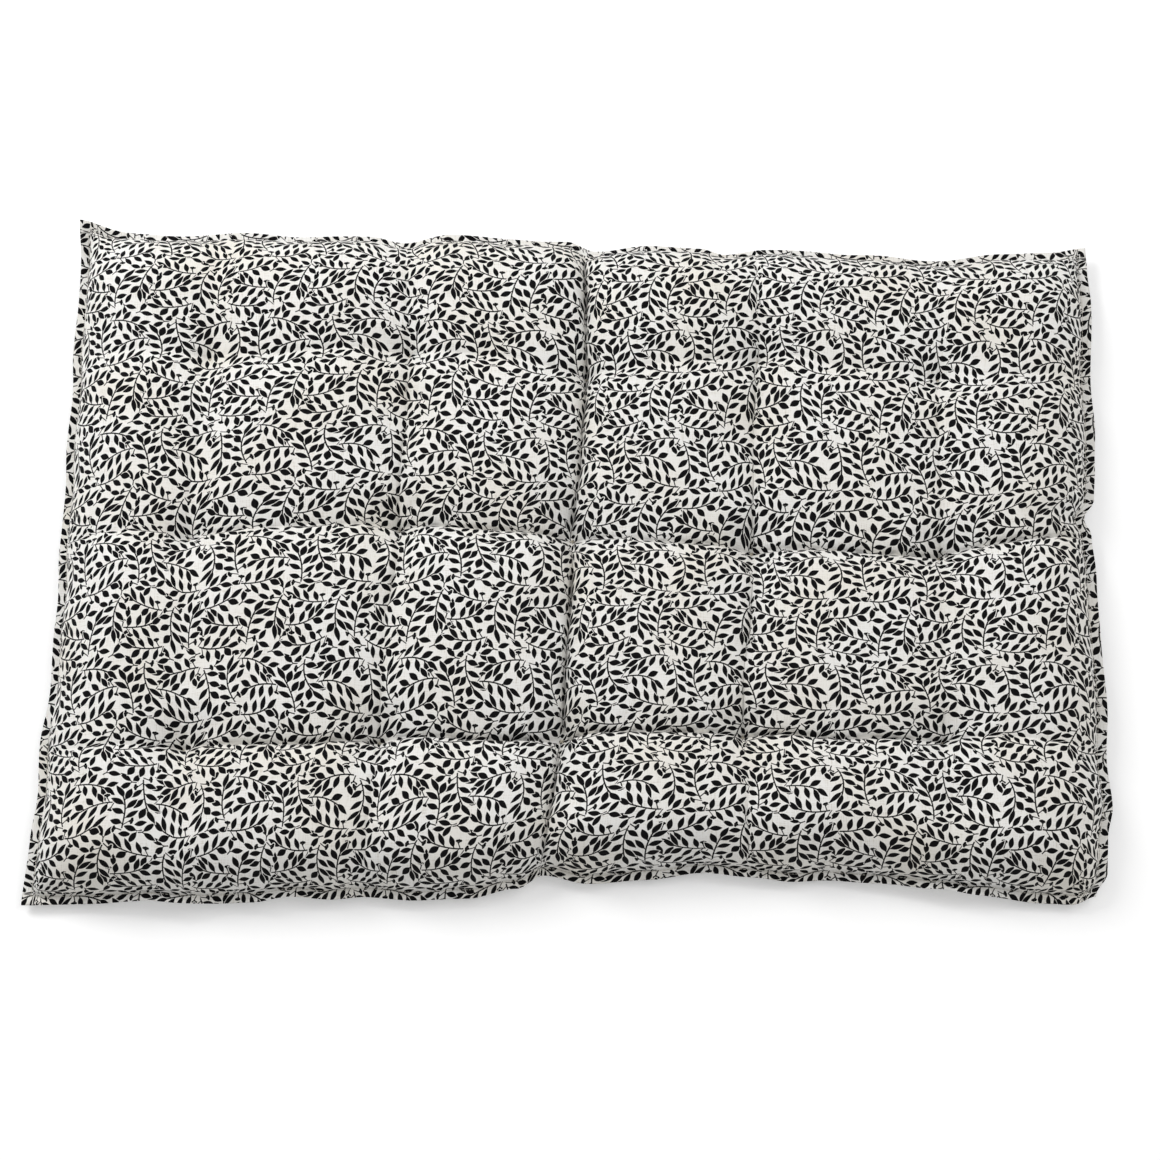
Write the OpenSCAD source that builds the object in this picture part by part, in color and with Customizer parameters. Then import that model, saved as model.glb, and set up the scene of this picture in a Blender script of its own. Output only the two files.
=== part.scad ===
// Tufted floor mattress: batting in a knife-edged cotton case, tied right through with twine.
// X runs along the length, Y across the width and Z up. The underside rests on Z = 0.
// The mattress folds in half along the middle tuft column, top faces together, so every layer
// is drawn as a left and a right half that meet at X = 0.

/* [Case] */
// Length over the flanges, along X
case_length = 1200; // [900:10:1500]
// Width over the flanges, along Y
case_width = 800; // [600:10:1100]
// Height of the top cloth at the crown of a pillow
loft = 84; // [70:1:110]
// Height of the flange's middle, where the two plies meet
flange_height = 14; // [8:1:20]
// Width of the flat flange outside the border seam
flange_width = 11; // [6:1:20]
// Thickness of the printed cotton with its fullness
cloth = 1.2; // [0.8:0.1:2]

/* [Edge] */
// Distance from the seam over which the top rises to its full loft
top_round = 95; // [60:5:120]
// Distance from the seam over which the underside comes down to the floor
under_round = 60; // [40:5:90]

/* [Tufting] */
// Columns of tufts along X, with one on the fold
tuft_columns = 5; // [3:2:7]
// Rows of tufts along Y
tuft_rows = 3; // [2:1:4]
// Distance from the border seam to the first column or row of tufts
tuft_margin = 158; // [120:2:190]
// Height of the top cloth's inner face at the bottom of a tuft pit
pit_height = 36; // [28:1:44]
// Share of the tuft pitch from a crease to the level crown of a pillow
crown_start = 0.33; // [0.25:0.01:0.4]
// Share of the pillow's relief that stands in the crease between two tufts
crease_share = 0.56; // [0.4:0.02:0.7]
// Share of the pillow's relief that stands in the crease of the fold
fold_share = 0.3; // [0.2:0.02:0.5]
// Height of the underside's cloth above the floor at a tuft
dimple_height = 16; // [12:1:20]
// Share of the relief below which the underside lifts off the floor
lift_share = 0.6; // [0.5:0.02:0.7]

/* [Ties] */
// Diameter of the tufting twine
twine_d = 2.5; // [1.5:0.1:3.5]
// Diameter of the knot in the top pit
pit_knot_d = 5; // [4:0.2:7]
// Diameter of the knot under the mattress
under_knot_d = 6; // [5:0.2:8]

/* [Batting] */
// Distance from the border seam to the edge of the batting
batting_inset = 14; // [8:1:24]
// Share of the inner height that the lower batting fills
lower_share = 0.3; // [0.2:0.02:0.35]
// Share of the inner height that the upper batting fills
upper_share = 0.3; // [0.2:0.02:0.35]
// Clearance between two soft layers, and round the twine
ease = 0.3; // [0.2:0.05:0.5]

/* [Fold] */
// Gap between the two halves along the fold
fold_gap = 0.6; // [0.4:0.1:2]
// Height of the fold's axis above the crowns
fold_clear = 0.5; // [0.3:0.1:2]

/* [Hidden] */
SIDES = ["left", "right"];
TIES = [for (c = [1:tuft_columns], r = [1:tuft_rows]) str("tuft_tie_", c, "_", r)];
LAYERS = ["top_cover", "bottom_cover", "upper_batting", "core_batting", "lower_batting"];

print_cloth = [0.90, 0.89, 0.86];
carded_cotton = [0.95, 0.93, 0.87];
core_cotton = [0.88, 0.85, 0.77];
waxed_twine = [0.16, 0.15, 0.14];

seam_x = case_length / 2 - flange_width;
seam_y = case_width / 2 - flange_width;
first_x = seam_x - tuft_margin;
first_y = seam_y - tuft_margin;
pitch_x = 2 * first_x / (tuft_columns - 1);
pitch_y = 2 * first_y / (tuft_rows - 1);
fold_axis_z = loft + fold_clear;

// Share of the tuft pitch from a crease to the first section line beside it
crease_cut = 0.1;
// Section lines across a pillow, as shares of the tuft pitch
cell_cuts = [0, crease_cut, crown_start, 1 - crown_start, 1 - crease_cut];
// Section lines of a border pillow, as shares of the way from the batting's edge to the first tufts
border_cuts = [0.2, 0.5, 0.85];

function border_lines(edge, seam, first) = let (inner = seam - batting_inset)
  concat([-edge, -seam, -inner], [for (s = border_cuts) -inner + s * (inner - first)]);
x_lines = concat(
  border_lines(case_length / 2, seam_x, first_x),
  [for (c = [0:(tuft_columns - 3) / 2], s = cell_cuts) -first_x + (c + s) * pitch_x],
  [-fold_gap / 2]
);
y_border = border_lines(case_width / 2, seam_y, first_y);
y_lines = concat(
  y_border,
  [for (r = [0:tuft_rows - 2], s = cell_cuts) -first_y + (r + s) * pitch_y],
  [first_y],
  [for (i = [len(y_border) - 1:-1:0]) -y_border[i]]
);
// The batting starts at the third line, inside the flange and the seam
batting_x = [for (i = [2:len(x_lines) - 1]) x_lines[i]];
batting_y = [for (i = [2:len(y_lines) - 3]) y_lines[i]];

// ---- Height of each surface ----

// Distance from v to the nearest of the lines that start at -first and are a pitch apart
function from_line(v, first, pitch) =
  abs(v + first - pitch * max(0, min(round(2 * first / pitch), round((v + first) / pitch))));
// 0 on a crease, 1 on the crown, steepest beside the crease
function swell(distance, pitch) = 1 - pow(1 - min(distance / (crown_start * pitch), 1), 2.5);
// The fold's crease takes the relief down to fold_share at X = 0
function fold_dip(x) = 1 - (1 - fold_share / crease_share) * (1 - swell(abs(x), pitch_x));
// Relief of the quilting: 0 at a tuft, 1 on a crown
function relief(x, y) = let (
    a = swell(from_line(x, first_x, pitch_x), pitch_x),
    b = swell(from_line(y, first_y, pitch_y), pitch_y)
  ) (crease_share * (a + b) + (1 - 2 * crease_share) * a * b) * fold_dip(x);
// Quarter ellipse from 0 on the border seam to 1 at the given distance inside it
function rise(inside, reach) = sqrt(1 - pow(1 - max(0, min(inside / reach, 1)), 2));
function edge_rise(x, y, reach) = rise(seam_x - abs(x), reach) * rise(seam_y - abs(y), reach);

// Inner faces of the two covers: they meet at the flange
top_inner = function(x, y) flange_height
  + (pit_height + (loft - cloth - pit_height) * relief(x, y) - flange_height)
  * edge_rise(x, y, top_round);
dimple = function(x, y) dimple_height
  * pow(max(0, 1 - relief(x, y) / lift_share), 1.5) * edge_rise(x, y, under_round);
bottom_inner = function(x, y) cloth + dimple(x, y)
  + (flange_height - cloth) * (1 - edge_rise(x, y, under_round));
top_outer = function(x, y) top_inner(x, y) + cloth;
bottom_outer = function(x, y) bottom_inner(x, y) - cloth;
// Height at a share of the space inside the case, from 0 at the bottom cover to 1 at the top cover
function inside(x, y, share) = let (
    low = bottom_inner(x, y) + ease / 2,
    high = top_inner(x, y) - ease / 2
  ) low + (high - low) * share;

// ---- Solids ----

// Closed solid between two height functions over the grid of section lines
module quilted(xs, ys, low, high) {
  nx = len(xs);
  ny = len(ys);
  at = function(layer, i, j) (layer * nx + i) * ny + j;
  points = [for (height = [low, high], x = xs, y = ys) [x, y, height(x, y)]];
  top = [for (i = [0:nx - 2], j = [0:ny - 2]) each [
    [at(1, i, j), at(1, i, j + 1), at(1, i + 1, j + 1)],
    [at(1, i, j), at(1, i + 1, j + 1), at(1, i + 1, j)]
  ]];
  under = [for (i = [0:nx - 2], j = [0:ny - 2]) each [
    [at(0, i, j), at(0, i + 1, j + 1), at(0, i, j + 1)],
    [at(0, i, j), at(0, i + 1, j), at(0, i + 1, j + 1)]
  ]];
  ends = [for (j = [0:ny - 2]) each [
    [at(0, 0, j), at(0, 0, j + 1), at(1, 0, j + 1), at(1, 0, j)],
    [at(0, nx - 1, j), at(1, nx - 1, j), at(1, nx - 1, j + 1), at(0, nx - 1, j + 1)]
  ]];
  sides = [for (i = [0:nx - 2]) each [
    [at(0, i, 0), at(1, i, 0), at(1, i + 1, 0), at(0, i + 1, 0)],
    [at(0, i, ny - 1), at(0, i + 1, ny - 1), at(1, i + 1, ny - 1), at(1, i, ny - 1)]
  ]];
  polyhedron(points, concat(top, under, ends, sides), convexity = 8);
}

// Holes for the ties, through every layer of the left half and half across the fold
module tie_holes() {
  for (c = [0:(tuft_columns - 1) / 2], r = [0:tuft_rows - 1])
    translate([-first_x + c * pitch_x, -first_y + r * pitch_y, -1])
      cylinder(r = twine_d / 2 + ease, h = loft + 2, $fn = 24);
}

// A layer of the left half, or its mirror image on the right
module half(side, xs, ys, low, high) {
  mirror([side == "right" ? 1 : 0, 0, 0])
    difference() {
      quilted(xs, ys, low, high);
      tie_holes();
    }
}

module top_cover(side) {
  color(print_cloth) half(side, x_lines, y_lines, top_inner, top_outer);
}

module bottom_cover(side) {
  color(print_cloth) half(side, x_lines, y_lines, bottom_outer, bottom_inner);
}

// One layer of batting between two shares of the space inside the case
module batting(side, from, to) {
  half(side, batting_x, batting_y,
    function(x, y) inside(x, y, from) + ease / 2,
    function(x, y) inside(x, y, to) - ease / 2);
}

module lower_batting(side) {
  color(carded_cotton) batting(side, 0, lower_share);
}

module core_batting(side) {
  color(core_cotton) batting(side, lower_share, 1 - upper_share);
}

module upper_batting(side) {
  color(carded_cotton) batting(side, 1 - upper_share, 1);
}

// Slope of the steepest facet that leaves a tuft at x, y, towards the outside and the fold
function pit_slope(height, x, y) = let (
    dx = crease_cut * pitch_x,
    dy = crease_cut * pitch_y,
    z = height(x, y),
    side = height(x + dx, y),
    beside = height(x, y + dy),
    corner = height(x + dx, y + dy)
  ) max(norm([(side - z) / dx, (corner - side) / dy]), norm([(corner - beside) / dx, (beside - z) / dy]));
// Height of a knot's centre off the cloth's lowest or highest point, so that it just clears the facets
function knot_seat(d, slope) = (d / 2 + ease) * sqrt(1 + slope * slope);

// One tuft: the twine, its knot in the top pit and its knot in the dimple underneath
module tuft_tie(column, row) {
  x = -first_x + (column - 1) * pitch_x;
  y = -first_y + (row - 1) * pitch_y;
  top = top_outer(x, y) + knot_seat(pit_knot_d, pit_slope(top_outer, x, y));
  under = bottom_outer(x, y) - knot_seat(under_knot_d, pit_slope(bottom_outer, x, y));
  color(waxed_twine) translate([x, y, 0]) {
    translate([0, 0, under]) cylinder(d = twine_d, h = top - under, $fn = 24);
    translate([0, 0, top]) sphere(d = pit_knot_d, $fn = 32);
    translate([0, 0, under]) sphere(d = under_knot_d, $fn = 32);
  }
}

top_cover("left");  // top_cover_left
top_cover("right");  // top_cover_right
bottom_cover("left");  // bottom_cover_left
bottom_cover("right");  // bottom_cover_right
upper_batting("left");  // upper_batting_left
upper_batting("right");  // upper_batting_right
core_batting("left");  // core_batting_left
core_batting("right");  // core_batting_right
lower_batting("left");  // lower_batting_left
lower_batting("right");  // lower_batting_right
for (c = [1:tuft_columns], r = [1:tuft_rows])
  tuft_tie(c, r);
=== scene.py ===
"""Futon mattress: quilted cotton case in two covers, three battings, fifteen twine ties."""
import math

import bpy
import numpy as np
from mathutils import Matrix, Vector


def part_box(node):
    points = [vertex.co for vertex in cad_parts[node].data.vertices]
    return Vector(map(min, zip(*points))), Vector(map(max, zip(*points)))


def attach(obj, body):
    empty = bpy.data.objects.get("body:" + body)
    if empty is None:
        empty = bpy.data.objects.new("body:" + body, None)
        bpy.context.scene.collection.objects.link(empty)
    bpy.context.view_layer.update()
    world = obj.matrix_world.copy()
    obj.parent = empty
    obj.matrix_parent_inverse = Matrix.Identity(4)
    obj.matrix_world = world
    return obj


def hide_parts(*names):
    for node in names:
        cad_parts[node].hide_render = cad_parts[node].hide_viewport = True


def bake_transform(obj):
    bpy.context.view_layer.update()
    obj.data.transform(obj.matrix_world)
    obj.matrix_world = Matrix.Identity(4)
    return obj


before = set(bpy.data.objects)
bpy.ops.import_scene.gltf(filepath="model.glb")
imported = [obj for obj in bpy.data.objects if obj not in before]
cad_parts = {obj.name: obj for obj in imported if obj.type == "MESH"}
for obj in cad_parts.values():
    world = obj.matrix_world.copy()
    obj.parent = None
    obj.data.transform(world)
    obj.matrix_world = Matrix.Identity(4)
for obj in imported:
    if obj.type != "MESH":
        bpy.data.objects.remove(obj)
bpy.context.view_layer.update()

MM = 0.001
HALF_LENGTH, HALF_WIDTH, LOFT = (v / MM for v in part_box("top_cover_right")[1])
COLUMN_COUNT, ROW_COUNT = 5, 3


def tie_name(column, row):
    """The node name of the tie at a column and row counted from 0."""
    return f"tuft_tie_{column + 1}_{row + 1}"


def tie_place(column, row):
    """Middle of a tie's box in plan, in millimetres."""
    low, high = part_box(tie_name(column, row))
    return np.array([(low[0] + high[0]) / 2, (low[1] + high[1]) / 2]) / MM


COLUMNS = np.array([tie_place(c, 0)[0] for c in range(COLUMN_COUNT)])
ROWS = np.array([tie_place(0, r)[1] for r in range(ROW_COUNT)])
# The flat border outside the seam, its height over the floor, and the cloth's thickness: these and
# all lengths below are in millimetres, and become metres by MM where a mesh is made.
FLANGE, FLANGE_HEIGHT, CLOTH = 11.0, 14.0, 0.9
SEAM_X, SEAM_Y = HALF_LENGTH - FLANGE, HALF_WIDTH - FLANGE


# ---------------------------------------------------------------- lines and grids


def line_through(points, t, level=False):
    """Smooth line through given (t, value) points. Between two of them it is the Hermite cubic
    (2u^3-3u^2+1) v0 + (u^3-2u^2+u) h m0 + (3u^2-2u^3) v1 + (u^3-u^2) h m1, where a point's slope m
    comes from its two neighbours, or is 0 where the line levels off at each point."""
    at, value = np.array(points, float).T
    slope = np.zeros(len(at)) if level else np.gradient(value, at)
    i = np.clip(np.searchsorted(at, t) - 1, 0, len(at) - 2)
    h = at[i + 1] - at[i]
    u = np.clip((t - at[i]) / h, 0, 1)
    rise = u * u * (3 - 2 * u)
    return (
        value[i] * (1 - rise)
        + value[i + 1] * rise
        + h * slope[i] * u * (1 - u) ** 2
        - h * slope[i + 1] * u * u * (1 - u)
    )


def half_bay(length, widest, finest, growth):
    """Distances from a crease to the middle of a bay, in steps that start at the finest, grow by a
    constant factor up to the widest, and are stretched together to fill the length."""
    steps, reach = [], 0
    step = finest
    while reach < length:
        steps.append(step)
        reach += step
        step = min(step * growth, widest)
    return np.concatenate([[0], np.cumsum(steps)]) * length / reach


def grid_lines(creases, seam, edge, widest, finest=1.6, growth=1.22):
    """Where the cloth's grid lines stand along one side: close together at the creases and at the
    seam, wide apart on the crowns, and evenly spaced over the flange."""
    inner = [-seam, *creases, seam]
    lines = [np.linspace(-edge, -seam, 5)]
    for a, b in zip(inner[:-1], inner[1:]):
        half = half_bay((b - a) / 2, widest, finest, growth)
        lines.append((a + half)[1:])
        lines.append((b - half[::-1])[1:])
    lines.append(np.linspace(seam, edge, 5)[1:])
    return np.concatenate(lines)


# The fold lies between these two places, in metres, from the right half to the left half. There the
# under layers have no wider gap between grid lines than FOLD_GAP millimetres.
FOLD_START, FOLD_END = (0.10, 0, 0), (-0.04, 0, 0)
FOLD_GAP = 4.0


def finer_at_fold(lines):
    """The same grid lines with more between them where the fold bends: no gap there is wider than
    FOLD_GAP, so that the layers stay nested when the fold stretches them."""
    low, high = lines[:-1], lines[1:]
    bends = (high * MM > FOLD_END[0]) & (low * MM < FOLD_START[0])
    shares = np.where(bends, np.ceil((high - low) / FOLD_GAP), 1).astype(int)
    pieces = [np.linspace(a, b, n, endpoint=False) for a, b, n in zip(low, high, shares)]
    return np.concatenate([*pieces, lines[-1:]])


# ---------------------------------------------------------------- plan of the case

# How far each blind tuft was pulled off its mark, in millimetres, by row from near to far.
WANDER = np.array(
    [
        [(4, -13), (6, -1), (-4, 7), (-14, 15), (-9, 8)],
        [(-7, 7), (19, 21), (3, 12), (-9, -1), (-11, -4)],
        [(3, 1), (21, 3), (13, -16), (-1, 0), (-9, -20)],
    ],
    float,
)
# Where the raw outline leaves its rectangle: (place along the side, offset outwards).
FAR_SIDE = [
    (-600, 12), (-540, 9), (-483, 6), (-410, 9), (-337, 6), (-262, 8), (-218, -1), (-167, 9),
    (-90, 5), (-22, 3), (12, -9), (74, -3), (146, -6), (176, -14), (224, -8), (338, -13),
    (439, -19), (505, -11), (560, -9), (600, -3),
]
NEAR_SIDE = [
    (-600, 15), (-530, 13), (-464, 10), (-430, 12), (-346, 9), (-302, 2), (-257, 4), (-218, 0),
    (-160, 3), (-91, 0), (-30, -11), (4, -27), (48, -19), (110, -25), (169, -33), (219, -29),
    (263, -25), (299, -28), (360, -24), (417, -18), (467, -12), (538, -6), (575, -5), (600, -14),
]
LEFT_SIDE = [
    (-400, 4), (-330, 0), (-272, -4), (-215, -1), (-155, -7), (-100, -6), (-58, -8), (5, -3),
    (71, -4), (130, -1), (191, -3), (250, 1), (320, 1), (400, 0),
]
RIGHT_SIDE = [
    (-400, -12), (-372, 2), (-333, 4), (-294, 11), (-235, 6), (-184, 9), (-110, 6), (-43, 4),
    (4, -1), (30, -9), (58, 4), (110, 7), (165, 9), (235, 6), (331, 10), (372, 7), (400, 6),
]
# Where the lines of tufts run out into the seam, as offsets along it.
COLUMN_ENDS_NEAR = (6, -2, -24, -10, -4)
COLUMN_ENDS_FAR = (2, 10, 7, -2, -6)
ROW_ENDS_LEFT = (-14, 2, 2)
ROW_ENDS_RIGHT = (8, 30, -12)


def across_bays(stations, values, t):
    """Value at t that changes evenly from one station to the next, for stations whose values are
    themselves arrays: (1 - u) v[i] + u v[i + 1]."""
    stations = np.array(stations)
    i = np.clip(np.searchsorted(stations, t) - 1, 0, len(stations) - 2)
    u = (t - stations[i]) / (stations[i + 1] - stations[i])
    values = np.stack(values)
    low = np.take_along_axis(values, i[None], 0)[0]
    high = np.take_along_axis(values, i[None] + 1, 0)[0]
    return low * (1 - u) + high * u


# Cells along each side of the lattice of random heights, and where the case's middle lies on it.
LATTICE, LATTICE_MIDDLE = 160, (80.37, 80.61)


def lumps(x, y, size, seed):
    """Unevenness between -1 and 1: random heights on a square lattice of that size, joined by eased
    steps along x and then along y, (1 - s) a + s b with s = 3u^2 - 2u^3."""
    heights = np.random.default_rng(seed).uniform(-1, 1, (LATTICE, LATTICE))
    u, v = x / size + LATTICE_MIDDLE[0], y / size + LATTICE_MIDDLE[1]
    i, j = np.floor(u).astype(int), np.floor(v).astype(int)
    u, v = (t * t * (3 - 2 * t) for t in (u - i, v - j))
    low = heights[i, j] * (1 - u) + heights[i + 1, j] * u
    high = heights[i, j + 1] * (1 - u) + heights[i + 1, j + 1] * u
    return low * (1 - v) + high * v


def plan(x, y):
    """Plan of the laid-out case in millimetres from its flat pattern's x and y. Each column of tufts
    is a flowing line through its pulled tufts, the raw edges are scalloped lines, and between them
    the cloth is spread evenly; the same holds along the rows. Inside, all of it strays by some
    millimetres, as lumps do, and less from 90 mm inside the edge outwards."""
    marks_y = [-HALF_WIDTH, *ROWS, HALF_WIDTH]
    marks_x = [-HALF_LENGTH, *COLUMNS, HALF_LENGTH]
    across = [-HALF_LENGTH - line_through(LEFT_SIDE, y, True)]
    for c, column in enumerate(COLUMNS):
        offsets = [COLUMN_ENDS_NEAR[c], *WANDER[:, c, 0], COLUMN_ENDS_FAR[c]]
        across.append(column + line_through(list(zip(marks_y, offsets)), y))
    across.append(HALF_LENGTH + line_through(RIGHT_SIDE, y, True))
    along = [-HALF_WIDTH - line_through(NEAR_SIDE, x, True)]
    for r, row in enumerate(ROWS):
        offsets = [ROW_ENDS_LEFT[r], *WANDER[r, :, 1], ROW_ENDS_RIGHT[r]]
        along.append(row + line_through(list(zip(marks_x, offsets)), x))
    along.append(HALF_WIDTH + line_through(FAR_SIDE, x, True))
    inside = np.clip(np.minimum(HALF_LENGTH - np.abs(x), HALF_WIDTH - np.abs(y)) / 90, 0, 1)
    stray_x, stray_y = 3.5 * inside * lumps(x, y, 61, 21), 4.5 * inside * lumps(x, y, 67, 22)
    return across_bays(marks_x, across, x) + stray_x, across_bays(marks_y, along, y) + stray_y


# ---------------------------------------------------------------- height of the two covers

# Depth of each crease in millimetres. Columns go from the near seam to the far one, rows from the
# left seam to the right one; a number stands for the stretch between two tufts.
COLUMN_DEPTH = (
    (8, 9, 9, 7),
    (11, 13, 13, 9),
    (20, 20, 19, 18),
    (11, 13, 13, 9),
    (8, 9, 9, 7),
)
ROW_DEPTH = (
    (8, 12, 15, 12, 12, 7),
    (8, 11, 14, 11, 12, 12),
    (6, 9, 9, 8, 8, 6),
)
# Depth of the sharp pinch in the bottom of each crease.
COLUMN_PINCH = (
    (1, 1, 2, 1),
    (4, 6, 6, 3),
    (13, 16, 15, 19),
    (4, 7, 6, 3),
    (2, 3, 4, 1),
)
ROW_PINCH = (
    (2, 8, 13, 11, 9, 2),
    (1, 4, 8, 6, 9, 10),
    (1, 3, 3, 2, 2, 1),
)
# How fast a pinch dies away from its line, as e^(-distance / width).
COLUMN_PINCH_WIDTH, ROW_PINCH_WIDTH = (3, 3, 4.2, 3, 3), 2.8
# The crowns lean to the right and to the near side, so that each crease has a long slope on its left
# and far side and a short one opposite: (reach, power) of the two slopes.
LONG_SLOPE, SHORT_SLOPE = (100.0, 2.4), (62.0, 3.1)
# The pit round each tuft: its reach, and its depth below the creases by row.
PIT_REACH, PIT_EXTRA = 54.0, (20.0, 17.0, 12.0)
# How far in from the seam the case rises: above, above along the near side, and below.
TOP_ROUND, NEAR_ROUND, UNDER_ROUND = 88.0, 62.0, 55.0
# The pits' bottoms are eased onto this height over the floor, within about so much of it.
PIT_FLOOR, PIT_EASE = 34.0, 6.0
# How the seam's band waves: (place along the side, lift), in millimetres.
FAR_LIFT = [
    (-600, 10), (-560, 2), (-420, 4), (-300, 0), (-150, 3), (0, -2), (120, 2), (300, 4), (430, 0),
    (540, 3), (600, 6),
]
NEAR_LIFT = [
    (-600, -4), (-540, 0), (-450, 13), (-400, 5), (-300, 8), (-200, 0), (-100, 3), (0, 6), (80, -2),
    (170, 5), (260, 0), (350, 2), (430, 12), (480, 5), (560, 0), (600, 3),
]
LEFT_LIFT = [
    (-400, -4), (-300, 1), (-200, -2), (-60, 3), (60, -3), (200, 3), (320, 0), (400, 10),
]
RIGHT_LIFT = [
    (-400, 3), (-300, 0), (-180, 4), (-60, -2), (30, 6), (120, -1), (260, 4), (400, 6),
]


def stretches(marks, depths, t):
    """Depth of a crease along its line: level over the middle of each stretch between two marks, and
    eased from one stretch to the next at the marks."""
    points = [(marks[0], depths[0])]
    for a, b, depth in zip(marks[:-1], marks[1:], depths):
        points += [(a + (b - a) * 0.3, depth), (a + (b - a) * 0.7, depth)]
    points.append((marks[-1], depths[-1]))
    return line_through(points, t, True)


def valley(distance, reach, power):
    """Cross-section of a valley: (1 - distance / reach)^power, and 0 past its reach."""
    return (1 - np.minimum(distance / reach, 1)) ** power


def leaning_valley(distance):
    """A valley whose slope is short where the signed distance is below 0 and long where it is above."""
    return np.where(distance < 0, valley(-distance, *SHORT_SLOPE), valley(distance, *LONG_SLOPE))


def rise_from(distance, reach):
    """Quarter ellipse that stands up at distance 0 and is level, at 1, from reach on."""
    return np.sqrt(np.maximum(1 - (1 - np.clip(distance / reach, 0, 1)) ** 2, 0))


def cotton(x, y):
    """Broad and small lumps together, in millimetres, on axes turned against the cloth's."""
    a, b = x * 0.86 - y * 0.51, x * 0.51 + y * 0.86
    return 2.2 * lumps(a, b, 62, 3) + 1.1 * lumps(b, a, 27, 8)


def seam_distance(x, y):
    """Distance inwards from the seam along x and along y."""
    return SEAM_X - np.abs(x), SEAM_Y - np.abs(y)


def flange_level(x, y):
    """Height of the seam's band. It waves up and down along each side by its lift, which dies away
    inwards as (1 - d / 70)^2 at d from the edge; the cloth outside the seam curls by 1.6 times a sine
    along both sides; and the far left corner turns up by 22 e^(-(d / 26)^2) at d from that corner."""
    dx, dy = HALF_LENGTH - np.abs(x), HALF_WIDTH - np.abs(y)
    by_x, by_y = (np.clip(1 - d / 70, 0, 1) ** 2 for d in (dx, dy))
    side = np.where(y > 0, line_through(FAR_LIFT, x), line_through(NEAR_LIFT, x))
    end = np.where(x > 0, line_through(RIGHT_LIFT, y), line_through(LEFT_LIFT, y))
    wave = (side * by_y + end * by_x) / np.maximum(by_y + by_x, 1)
    curl = np.sin(x / 21 + y / 26 + 1.2 * np.sin(x / 57) + 1.1 * np.sin(y / 41))
    beyond = np.clip(1 - np.minimum(dx, dy) / (2 * FLANGE), 0, 1)
    ear = 22 * np.exp(-((x + HALF_LENGTH) ** 2 + (y - HALF_WIDTH) ** 2) / 26**2)
    return np.maximum(FLANGE_HEIGHT + wave + 1.6 * curl * beyond + ear, 3.0)


def gathers(x, y):
    """Small pleats where the cloth is eased into the seam and into the tufts: waves along the seam that
    die away inwards as e^(-distance / 20), and rays about each tuft, as e^(-distance / 24)."""
    ex, ey = seam_distance(x, y)
    ex, ey = np.maximum(ex, 0), np.maximum(ey, 0)
    side = np.sin(x / 3.6 + 2.4 * np.sin(x / 31)) * np.exp(-ey / 20) * np.minimum(ey / 5, 1)
    end = np.sin(y / 3.6 + 2.4 * np.sin(y / 29)) * np.exp(-ex / 20) * np.minimum(ex / 5, 1)
    pleats = 0.9 * (side + end)
    for r, row in enumerate(ROWS):
        for c, column in enumerate(COLUMNS):
            dx, dy = x - column, y - row
            away, angle = np.hypot(dx, dy), np.arctan2(dy, dx)
            rays = np.cos((7 + (r + c) % 3) * angle + 1.3 * c + 0.7 * r)
            pleats += 1.5 * rays * np.exp(-away / 24) * np.minimum(away / 7, 1)
    return pleats


def quilting(x, y, shallow=1.0):
    """How far the quilted cloth lies below its crowns: the valleys of the columns and rows, the narrow
    pinch in each, tighter here and slacker there, and a deeper pit at each tuft."""
    marks_y, marks_x = [-SEAM_Y, *ROWS, SEAM_Y], [-SEAM_X, *COLUMNS, SEAM_X]
    drop = np.zeros_like(x)
    tight = shallow * (1 + 0.5 * lumps(x, y, 43, 31))
    for c, column in enumerate(COLUMNS):
        d = np.abs(x - column)
        drop += stretches(marks_y, COLUMN_DEPTH[c], y) * leaning_valley(column - x)
        drop += stretches(marks_y, COLUMN_PINCH[c], y) * np.exp(-d / COLUMN_PINCH_WIDTH[c]) * tight
    for r, row in enumerate(ROWS):
        d = np.abs(y - row)
        drop += stretches(marks_x, ROW_DEPTH[r], x) * leaning_valley(y - row)
        drop += stretches(marks_x, ROW_PINCH[r], x) * np.exp(-d / ROW_PINCH_WIDTH) * tight
        for column in COLUMNS:
            drop += PIT_EXTRA[r] * valley(np.hypot(x - column, y - row), PIT_REACH, 2)
    return drop


def top_height(x, y):
    """Outer face of the top cover: flange + (full - flange) * rise(ex) * rise(ey) + gathers. The rises
    are quarter ellipses in from the seam. Full is the crown less the quilting, uneven by the cotton's
    lumps, and f above the pits' floor it becomes (f + sqrt(f^2 + ease^2)) / 2, which never sinks
    below it."""
    ex, ey = seam_distance(x, y)
    level = flange_level(x, y)
    crown = LOFT - 2 + 2.4 * np.sin(x / 160 + 0.6) * np.sin(y / 120 - 0.9)
    full = crown - quilting(x, y) + cotton(x, y)
    above = full - PIT_FLOOR
    full = PIT_FLOOR + (above + np.sqrt(above**2 + PIT_EASE**2)) / 2
    rise = rise_from(ex, TOP_ROUND) * rise_from(ey, np.where(y < 0, NEAR_ROUND, TOP_ROUND))
    return level + (full - level) * rise + gathers(x, y) * (ex > 0) * (ey > 0)


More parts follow.
